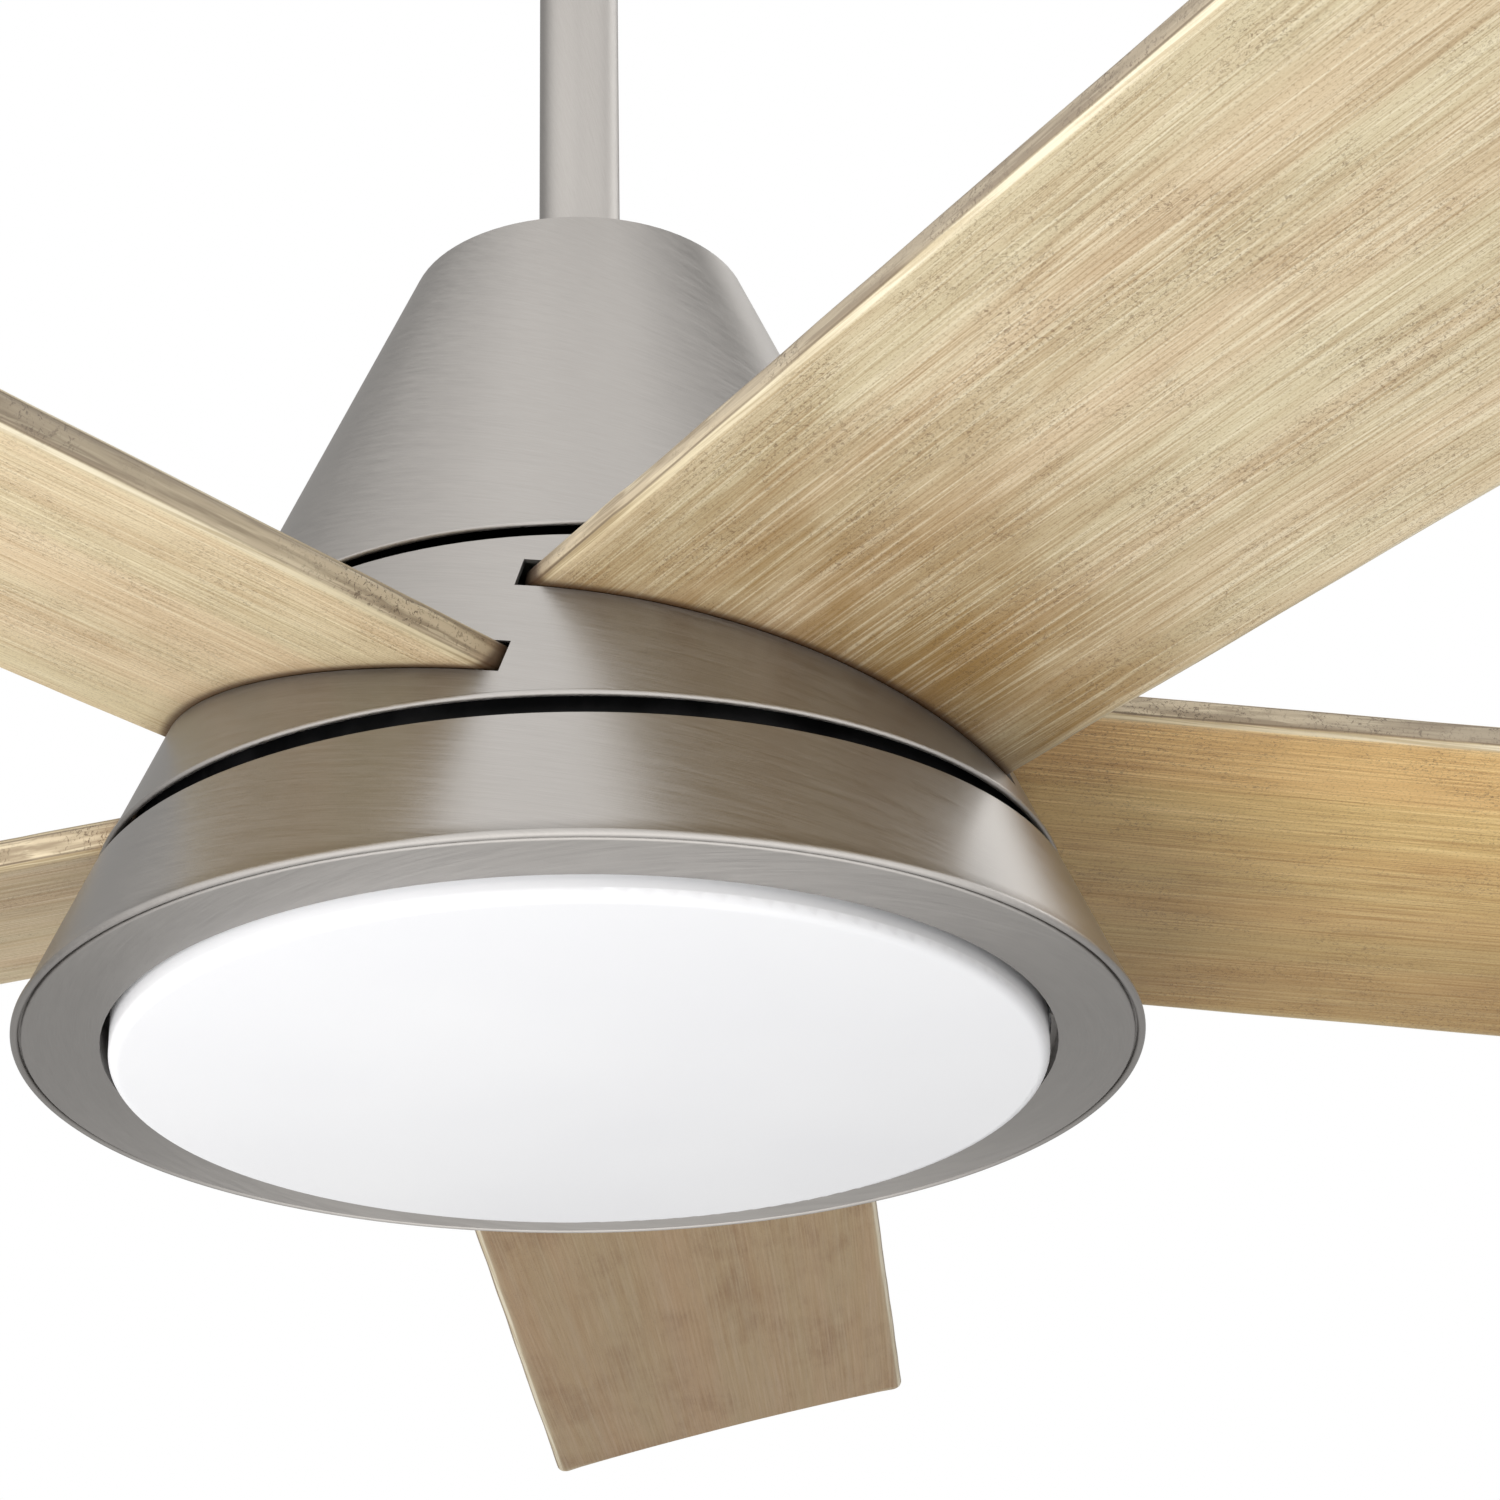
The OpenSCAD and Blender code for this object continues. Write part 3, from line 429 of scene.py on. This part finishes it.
def oak(name, seed, tint, stain, mottle, painted_trail_shade, crisp):
    """
    Light oak, brushed along the board, with worn pale edges that carry a painted highlight on
    their rounding, and specks in its pores. tint is the board's own tone, stain how brown it is
    near the ring from stain and painted shade, mottle how blotched all over, painted_trail_shade
    how much painted shade darkens its trailing side, and crisp how sharply its grain shows.
    """
    material, g = new_material(name)
    x, y, z = g.parts(g.coordinates())
    shift = 3.7 * seed
    bend = g.noise(g.vector(x * 1.6 + shift, y * 6.0, z * 6.0), detail=2.0)
    across = y + bend * 0.005

    def patches(along, wide, through, offset=0.0, **shape):
        """Noise with so many patches to the metre along, across and through the board."""
        place = g.vector(x * along + (shift + offset), across * wide, z * through)
        return g.noise(place, **shape)

    bands = patches(1.4, 40.0, 14.0, 1.0, detail=2.0, rough=0.5)
    grain = patches(4.5, 260.0, 91.0, 2.0, detail=4.0, rough=0.6)
    fibres = patches(11.0, 900.0, 315.0, 4.0, detail=3.0, rough=0.6)
    hairs = patches(26.0, 1900.0, 665.0, 6.0, detail=2.0, rough=0.55)
    fleck = patches(900.0, 1500.0, 900.0, detail=3.0, rough=0.7)
    blotch = patches(9.0, 22.0, 5.0, detail=5.0, rough=0.65)
    clear = ring_clearance(x, y, z)
    lead = y + (x - SLOT_RADIUS) * BLADE_FLARE + LEAD_HALF
    outward = x.between(0.14, 0.3)
    turn = g.parts(g.coordinates("Normal"))[2].size()      # 1 on the flat faces, 0 on the sides

    browned = blotch.between(0.46, 0.66) * fibres.between(0.4, 0.6, 1.0, 0.35)
    # brown stain near the ring together with painted shade there, less towards the leading edge
    root_stain_and_shade = clear.between(0.15, 0.01) * blotch.between(0.3, 0.6, 0.45, 1.0)
    root_stain_and_shade = root_stain_and_shade * lead.between(0.0, 0.06, 0.5, 1.0)
    root_stain_and_shade = root_stain_and_shade * fibres.between(0.5, 0.64, 1.0, 0.5)
    wood = g.coats(
        g.mix(bands.between(0.36, 0.64), srgb(200, 179, 146), srgb(196, 182, 148)),
        (grain.between(0.46, 0.34) * (0.35 * crisp), srgb(166, 140, 104)),
        (grain.between(0.56, 0.68) * (0.3 * crisp), srgb(222, 210, 178)),
        (fibres.between(0.46, 0.36) * (0.6 * crisp), srgb(150, 124, 88)),
        (fibres.between(0.55, 0.63) * (0.55 * crisp), srgb(230, 219, 190)),
        (hairs.between(0.46, 0.34) * (0.55 * crisp), srgb(140, 113, 78)),
        (hairs.between(0.55, 0.66) * (0.45 * crisp), srgb(232, 223, 196)),
        (browned * mottle, srgb(150, 119, 79)),
        (root_stain_and_shade * stain, srgb(130, 98, 44)),
        (fleck.between(0.48, 0.34) * 0.42, srgb(112, 86, 54)),
    )
    tinted = g.mix(1.0, wood, (*tint, 1.0), blend="MULTIPLY")

    # pores: dark specks in loose clusters
    pore = patches(640.0, 980.0, 640.0, detail=3.0, rough=0.8, warp=1.0)
    cluster = patches(26.0, 55.0, 20.0, detail=3.0, rough=0.65)
    specks = pore.between(0.54, 0.62) * (cluster * 0.6 + blotch * 0.4).between(0.44, 0.58)

    # sawn sides: greyer and rougher than the faces
    sides = g.coats(
        g.mix(fibres.between(0.36, 0.6), srgb(150, 134, 110), srgb(200, 184, 156)),
        (hairs.between(0.54, 0.66) * 0.6, srgb(222, 208, 178)),
        (specks * 0.8, srgb(84, 66, 46)),
        (outward * 0.5, srgb(134, 122, 108)),
    )

    # worn edges: how near a point is to the long edges or the tip, and how far it has turned
    # from a face to a side
    trail = (x - SLOT_RADIUS) * BLADE_FLARE + TRAIL_HALF - y
    tip = (x * -1.0) + (BLADE_TIP - TIP_BOW * 0.5)
    ragged = lead.least(trail).least(tip) + (grain - 0.5) * 0.006
    rounding = turn.between(0.985, 0.9) * turn.between(0.5, 0.7)
    rim_line = turn.between(0.66, 0.56) * turn.between(0.4, 0.5)
    raw = g.mix(fibres.between(0.4, 0.6), srgb(150, 132, 100), srgb(206, 192, 160))
    # the rounding's cream: worn, bleached wood with a painted highlight on it
    bleached_and_highlit = g.mix(fibres.between(0.38, 0.58), srgb(200, 185, 154), srgb(234, 224, 199))
    board = g.coats(
        tinted,
        # painted shade: the board darkens towards its trailing side, as the light falls across it
        (lead.between(0.02, 0.14) * painted_trail_shade, srgb(96, 74, 44)),
        (specks * (0.7 * crisp), srgb(88, 62, 36)),
        (ragged.between(0.006, 0.001) * 0.3, srgb(220, 209, 178)),
        # worn rounding: bleached wood and a painted highlight
        (rounding * 0.85, g.mix(outward, raw, bleached_and_highlit)),
        (turn.between(0.68, 0.42), sides),
        (rim_line * grain.between(0.36, 0.6, 0.85, 0.3), srgb(92, 76, 58)),
        # painted contact shade and a burnt stain along the line where the board leaves its slot
        (clear.between(0.012, 0.0) * 0.4, srgb(110, 78, 40)),
        (clear.between(0.004, 0.0005) * 0.85, srgb(58, 34, 15)),
    )

    height = (grain * 0.4 + fibres * 0.35 + hairs * 0.25) * crisp - specks * 0.5
    g.surface(
        Base_Color=board,
        Roughness=(grain * 0.5 + fibres * 0.5).between(0.3, 0.7, 0.6, 0.42),
        IOR=1.5,
        Normal=g.bump(height, 0.4, 0.0004),
    )
    return material


def ring_clearance(x, y, z):
    """How far a point of a board is outside the ring's cone."""
    low = z * math.cos(BLADE_PITCH) - y * math.sin(BLADE_PITCH)
    aside = y * math.cos(BLADE_PITCH) + z * math.sin(BLADE_PITCH)
    shell = low * -CONE_TAPER + (CONE_FOOT - CONE_TAPER * (BLADE_LEVEL - LIGHT_FACE))
    return (x * x + aside * aside).root() - shell


# ---- Blades ----

def board_outline():
    """Points round a board from above, anticlockwise from the tongue's inner lead corner."""
    lead_tip = LEAD_HALF + BLADE_FLARE * (BLADE_TIP - SLOT_RADIUS)
    trail_tip = TRAIL_HALF + BLADE_FLARE * (BLADE_TIP - SLOT_RADIUS)
    shoulder_lead = LEAD_HALF + BLADE_FLARE * (SHOULDER_LEAD - SLOT_RADIUS)
    shoulder_trail = TRAIL_HALF + BLADE_FLARE * (SHOULDER_TRAIL - SLOT_RADIUS)
    half_chord = (lead_tip + trail_tip) / 2
    middle = (trail_tip - lead_tip) / 2
    bow_radius = (half_chord ** 2 + TIP_BOW ** 2) / (2 * TIP_BOW)

    def tip_at(y):
        """The drawn-in end, as far out as the arc through both corners and the bowed middle."""
        return BLADE_TIP + bow_radius - TIP_BOW - math.sqrt(bow_radius ** 2 - (y - middle) ** 2)

    def run(start, end, count):
        return [start.lerp(end, i / count) for i in range(count)]

    def corner(centre, begin):
        last = CORNER_POINTS - 1
        turns = [math.radians(begin + 90 * i / last) for i in range(CORNER_POINTS)]
        return [centre + TIP_CORNER * Vector((math.cos(a), math.sin(a))) for a in turns]

    def low_corner(y, sign):
        out = tip_at(y) - TIP_CORNER
        return Vector((out, y - sign * TIP_CORNER))

    lead_centre = low_corner(-lead_tip, -1)
    trail_centre = low_corner(trail_tip, 1)
    lead_start = Vector((SHOULDER_LEAD, -shoulder_lead))
    trail_start = Vector((SHOULDER_TRAIL, shoulder_trail))
    lead_inner, lead_outer = (Vector((x, -TONGUE_HALF)) for x in (TONGUE_START, TONGUE_END))
    trail_inner, trail_outer = (Vector((x, TONGUE_HALF)) for x in (TONGUE_START, TONGUE_END))
    points = run(lead_inner, lead_outer, TONGUE_STEPS)
    points += run(lead_outer, lead_start, TONGUE_STEPS)
    points += run(lead_start, lead_centre + Vector((0, -TIP_CORNER)), SIDE_STEPS)
    points += corner(lead_centre, -90)
    for i in range(1, TIP_STEPS):
        y = lead_centre.y + (trail_centre.y - lead_centre.y) * i / TIP_STEPS
        points.append(Vector((tip_at(y), y)))
    points += corner(trail_centre, 0)
    points += run(trail_centre + Vector((0, TIP_CORNER)), trail_start, SIDE_STEPS)[1:]
    points += run(trail_start, trail_outer, TONGUE_STEPS)
    points += run(trail_outer, trail_inner, TONGUE_STEPS)
    points += run(trail_inner, lead_inner, TONGUE_STEPS)
    return points


def worn_point(point, seed):
    """Draws an outline point in by up to 0.7 mm, as a hand-sanded edge would be."""
    if point.x < WORN_FROM:
        return point
    where = Vector((point.x * WEAR_PER_METRE, point.y * WEAR_PER_METRE, seed * WEAR_SEED_STEP))
    depth = WEAR_DEPTH * (1 + noise.noise(where))
    middle = Vector((min(point.x, WORN_TOWARD), 0))
    inward = (middle - point).normalized()
    return point + inward * depth


def make_board(index):
    """One board with rounded, worn edges and three screw holes, standing for its CAD node."""
    mesh = bmesh.new()
    ring = [mesh.verts.new((*worn_point(p, index), 0)) for p in board_outline()]
    bottom = mesh.faces.new(ring)
    raised = bmesh.ops.extrude_face_region(mesh, geom=[bottom])["geom"]
    top_verts = [v for v in raised if isinstance(v, bmesh.types.BMVert)]
    bmesh.ops.translate(mesh, verts=top_verts, vec=(0, 0, BLADE_THICK))
    bmesh.ops.recalc_face_normals(mesh, faces=mesh.faces)
    flat = [f for f in mesh.faces if abs(f.normal.z) > 0.9]
    rims = list({e for f in flat for e in f.edges})
    bmesh.ops.bevel(mesh, geom=rims, offset=EDGE_ROUND, segments=EDGE_SEGMENTS,
                    profile=0.5, affect="EDGES")
    for face in mesh.faces:
        face.smooth = True
    name = f"board_{index + 1}"
    data = bpy.data.meshes.new(name)
    mesh.to_mesh(data)
    mesh.free()
    board = bpy.data.objects.new(name, data)
    bpy.context.scene.collection.objects.link(board)
    board.data.materials.append(oak(f"oak_{index + 1}", index + 1, *BOARD_TONES[index]))
    cut_screw_holes(board)
    finish_shading(board)
    turned = Matrix.Rotation(BLADE_AZIMUTH + index * math.tau / BLADE_COUNT, 4, "Z")
    lifted = Matrix.Translation((0, 0, BLADE_LEVEL))
    board.matrix_world = turned @ lifted @ Matrix.Rotation(-BLADE_PITCH, 4, "X")
    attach(board, "rotor")
    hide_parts(f"blade_{index + 1}")


def cut_screw_holes(board):
    """Drills the tongue for its screws."""
    drill = bmesh.new()
    for x, y in SCREW_PLACES:
        place = Matrix.Translation((x, y, BLADE_THICK / 2))
        bmesh.ops.create_cone(drill, cap_ends=True, segments=SCREW_SIDES, radius1=SCREW_HOLE,
                              radius2=SCREW_HOLE, depth=3 * BLADE_THICK, matrix=place)
    data = bpy.data.meshes.new("drill")
    drill.to_mesh(data)
    drill.free()
    cutter = bpy.data.objects.new("drill", data)
    bpy.context.scene.collection.objects.link(cutter)
    cut = board.modifiers.new("holes", "BOOLEAN")
    cut.object = cutter
    cut.operation = "DIFFERENCE"
    cut.solver = "EXACT"
    apply_modifiers(board)
    bpy.data.objects.remove(cutter)


def finish_shading(board):
    """Keeps the two large faces flat while the rounded edges shade smoothly."""
    weighted = board.modifiers.new("weighted", "WEIGHTED_NORMAL")
    weighted.keep_sharp = True
    weighted.weight = 100
    apply_modifiers(board)


def apply_modifiers(piece):
    """Bakes the piece's modifiers into its mesh."""
    graph = bpy.context.evaluated_depsgraph_get()
    baked = bpy.data.meshes.new_from_object(piece.evaluated_get(graph), depsgraph=graph)
    piece.modifiers.clear()
    piece.data = baked


# ---- Light skirt ----

def make_skirt(finish):
    """The spun skirt with its rolled lip, turned finely enough to shade smoothly. It stands for
    its CAD node, without the screw holes of the hidden flange."""
    def cone(level):
        return CONE_FOOT - CONE_TAPER * level

    middle = cone(LIP_RADIUS) - LIP_RADIUS + LIP_STANDS_OUT
    turns = [math.radians(LIP_BEGINS - LIP_SWEEP * i / LIP_STEPS) for i in range(LIP_STEPS + 1)]
    lip = [(middle + LIP_RADIUS * math.cos(a), LIP_RADIUS + LIP_RADIUS * math.sin(a))
           for a in turns]
    drop = (LIP_END - SKIRT_TOP) / WALL_STEPS
    levels = [SKIRT_TOP + drop * i for i in range(WALL_STEPS + 1)]
    outside = [(cone(level), level) for level in levels]
    ledge_top = LEDGE_LEVEL + LEDGE_THICK
    flange_foot = SKIRT_TOP - FLANGE_THICK
    inside = [(cone(LEDGE_LEVEL) - WALL, LEDGE_LEVEL), (LEDGE_INNER, LEDGE_LEVEL),
              (LEDGE_INNER, ledge_top), (cone(ledge_top) - WALL, ledge_top),
              (cone(flange_foot) - WALL, flange_foot),
              (FLANGE_INNER, flange_foot), (FLANGE_INNER, SKIRT_TOP)]
    profile = outside + lip + inside
    mesh = bmesh.new()
    rings = []
    for i in range(SKIRT_SIDES):
        angle = math.tau * i / SKIRT_SIDES
        cos, sin = math.cos(angle), math.sin(angle)
        rings.append([mesh.verts.new((r * cos, r * sin, LIGHT_FACE + level))
                      for r, level in profile])
    for i, ring in enumerate(rings):
        after = rings[(i + 1) % SKIRT_SIDES]
        for k in range(len(profile)):
            follow = (k + 1) % len(profile)
            mesh.faces.new((ring[k], ring[follow], after[follow], after[k])).smooth = True
    bmesh.ops.recalc_face_normals(mesh, faces=mesh.faces)
    data = bpy.data.meshes.new("spun_skirt")
    mesh.to_mesh(data)
    mesh.free()
    data.set_sharp_from_angle(angle=CREASE)
    skirt = bpy.data.objects.new("spun_skirt", data)
    bpy.context.scene.collection.objects.link(skirt)
    data.materials.append(finish)
    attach(skirt, SKIRT_BODY)
    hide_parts("light_skirt")


# ---- Finishes of the CAD nodes ----

def dress_nodes():
    """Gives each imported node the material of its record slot."""
    finishes = {
        "nickel": brushed_round("nickel", srgb(146, 143, 140), srgb(158, 155, 152), 0.4),
        "zinc": plated_steel("zinc", srgb(150, 152, 156), srgb(205, 207, 210), 0.33),
        "steel_sheet": layered_steel("steel_sheet"),
        "spring_steel": plated_steel("spring_steel", srgb(38, 38, 40), srgb(70, 70, 74), 0.35),
        "black_enamel": cast_enamel("black_enamel", srgb(14, 14, 15), srgb(30, 30, 31)),
        "cast_black": cast_enamel("cast_black", srgb(12, 12, 12), srgb(26, 26, 27)),
        "magnet": cast_enamel("magnet", srgb(40, 40, 43), srgb(72, 72, 76)),
        "alloy": brushed_round("alloy", srgb(160, 162, 166), srgb(188, 190, 193), 0.4),
        "copper_wire": wound_copper("copper_wire"),
        "circuit_green": circuit_board("circuit_green", srgb(20, 66, 34), srgb(34, 104, 54)),
        "white_enamel": circuit_board("white_enamel", srgb(214, 214, 208), srgb(242, 242, 238)),
        "white_plastic": moulded("white_plastic", srgb(222, 221, 215), srgb(238, 237, 232), 0.45),
        "black_plastic": moulded("black_plastic", srgb(16, 16, 17), srgb(34, 34, 36), 0.5),
        "led_phosphor": moulded("led_phosphor", srgb(222, 190, 70), srgb(246, 222, 116), 0.25),
        "opal": opal_acrylic("opal"),
    }
    for entry in frame["record"]["subparts"]:
        finish = finishes.get(entry["material_slot"])
        if finish:
            data = frame["nodes"][entry["node"]].data
            data.materials.clear()
            data.materials.append(finish)
    return finishes


# ---- Studio ----

def make_floor():
    """Plain pale floor, far enough down to leave the fan in view from underneath."""
    data = bpy.data.meshes.new("floor")
    corners = [(across * FLOOR_HALF, ahead * FLOOR_HALF, -FLOOR_DROP)
               for across, ahead in ((-1, -1), (1, -1), (1, 1), (-1, 1))]
    data.from_pydata(corners, [], [(0, 1, 2, 3)])
    floor = bpy.data.objects.new("floor", data)
    bpy.context.scene.collection.objects.link(floor)
    material, g = new_material("floor")
    tone = g.noise(g.coordinates(), scale=1.5, detail=2.0)
    g.surface(
        Base_Color=g.mix(tone.between(0.3, 0.7), srgb(236, 236, 235), srgb(240, 240, 239)),
        Roughness=0.7,
    )
    data.materials.append(material)
    floor.visible_glossy = False
    floor.visible_diffuse = False


def make_world():
    """White surroundings: plain to the eye, soft as light, a shaded studio in the metal."""
    world = bpy.data.worlds.new("studio")
    bpy.context.scene.world = world
    world.use_nodes = True
    g = Graph(world.node_tree)
    x, y, z = g.parts(g.coordinates("Generated"))

    def lobe(toward, start, end):
        """How far a direction lies inside a soft-edged patch of the studio."""
        aim = Vector(toward).normalized()
        facing = x * aim.x + y * aim.y + z * aim.z
        return facing.between(start, end)

    # bright on the viewer's side and straight below
    mirrored = y.between(-0.45, 0.6, 2.08, 0.56) + z.between(-0.75, -0.4, 0.82, 0.0)
    # dimmer high up on both sides, most on the right
    mirrored = mirrored - x.between(0.2, 0.45) * z.between(0.7, 0.8) * 0.75
    mirrored = mirrored - x.between(-0.25, -0.45) * z.between(0.6, 0.8) * 0.25
    # a dim patch above the viewer, and a bright one beyond the fan, high on the right
    mirrored = mirrored - lobe((0.0, -0.82, 0.58), 0.94, 0.985) * 0.5
    mirrored = mirrored + lobe((0.75, 0.42, 0.5), 0.93, 0.975) * 2.2
    rays = g.add("ShaderNodeLightPath")

    def backdrop(colour, strength):
        shader = g.add("ShaderNodeBackground")
        g.feed(shader.inputs["Color"], colour)
        g.feed(shader.inputs["Strength"], strength)
        return shader

    def choose(ray, first, second):
        mixer = g.add("ShaderNodeMixShader")
        world.node_tree.links.new(rays.outputs[ray], mixer.inputs[0])
        world.node_tree.links.new(first.outputs[0], mixer.inputs[1])
        world.node_tree.links.new(second.outputs[0], mixer.inputs[2])
        return mixer

    soft = backdrop((1.0, 1.0, 1.0, 1.0), z.between(-0.2, 0.3, 0.5, 0.9))
    shaded = backdrop((1.0, 0.99, 0.975, 1.0), mirrored)
    plain = backdrop((1.0, 1.0, 1.0, 1.0), 1.0)
    seen = choose("Is Camera Ray", choose("Is Glossy Ray", soft, shaded), plain)
    output = g.add("ShaderNodeOutputWorld")
    world.node_tree.links.new(seen.outputs[0], output.inputs["Surface"])


def add_softbox(name, place, aim, size, watts):
    """A square soft light that lights wood and plastic, and leaves no square in the metal."""
    data = bpy.data.lights.new(name, "AREA")
    data.shape = "SQUARE"
    data.size = size
    data.energy = watts
    light = bpy.data.objects.new(name, data)
    light.location = place
    light.rotation_mode = "QUATERNION"
    light.rotation_quaternion = (Vector(aim) - Vector(place)).to_track_quat("-Z", "Y")
    light.visible_glossy = False
    light.visible_camera = False
    bpy.context.scene.collection.objects.link(light)


def make_camera():
    """The camera, turned by yaw, pitch and roll about its own place."""
    forward = Vector((math.sin(CAMERA_YAW) * math.cos(CAMERA_PITCH),
                      math.cos(CAMERA_YAW) * math.cos(CAMERA_PITCH), math.sin(CAMERA_PITCH)))
    level = Vector((math.cos(CAMERA_YAW), -math.sin(CAMERA_YAW), 0))
    above = level.cross(forward)
    right = math.cos(CAMERA_ROLL) * level + math.sin(CAMERA_ROLL) * above
    up = -math.sin(CAMERA_ROLL) * level + math.cos(CAMERA_ROLL) * above
    data = bpy.data.cameras.new("camera")
    data.lens = CAMERA_LENS
    data.sensor_width = SENSOR_WIDTH
    data.clip_start = NEAREST_SEEN
    camera = bpy.data.objects.new("camera", data)
    turned = Matrix((right, up, -forward)).transposed().to_4x4()
    camera.matrix_world = Matrix.Translation(CAMERA_PLACE) @ turned
    bpy.context.scene.collection.objects.link(camera)
    bpy.context.scene.camera = camera


make_camera()
make_world()
make_floor()
add_softbox("key_from_left", KEY_PLACE, KEY_AIM, KEY_SIZE, KEY_WATTS)
bpy.context.scene.view_settings.view_transform = "Standard"
finishes = dress_nodes()
make_skirt(finishes["nickel"])
for blade in range(BLADE_COUNT):
    make_board(blade)
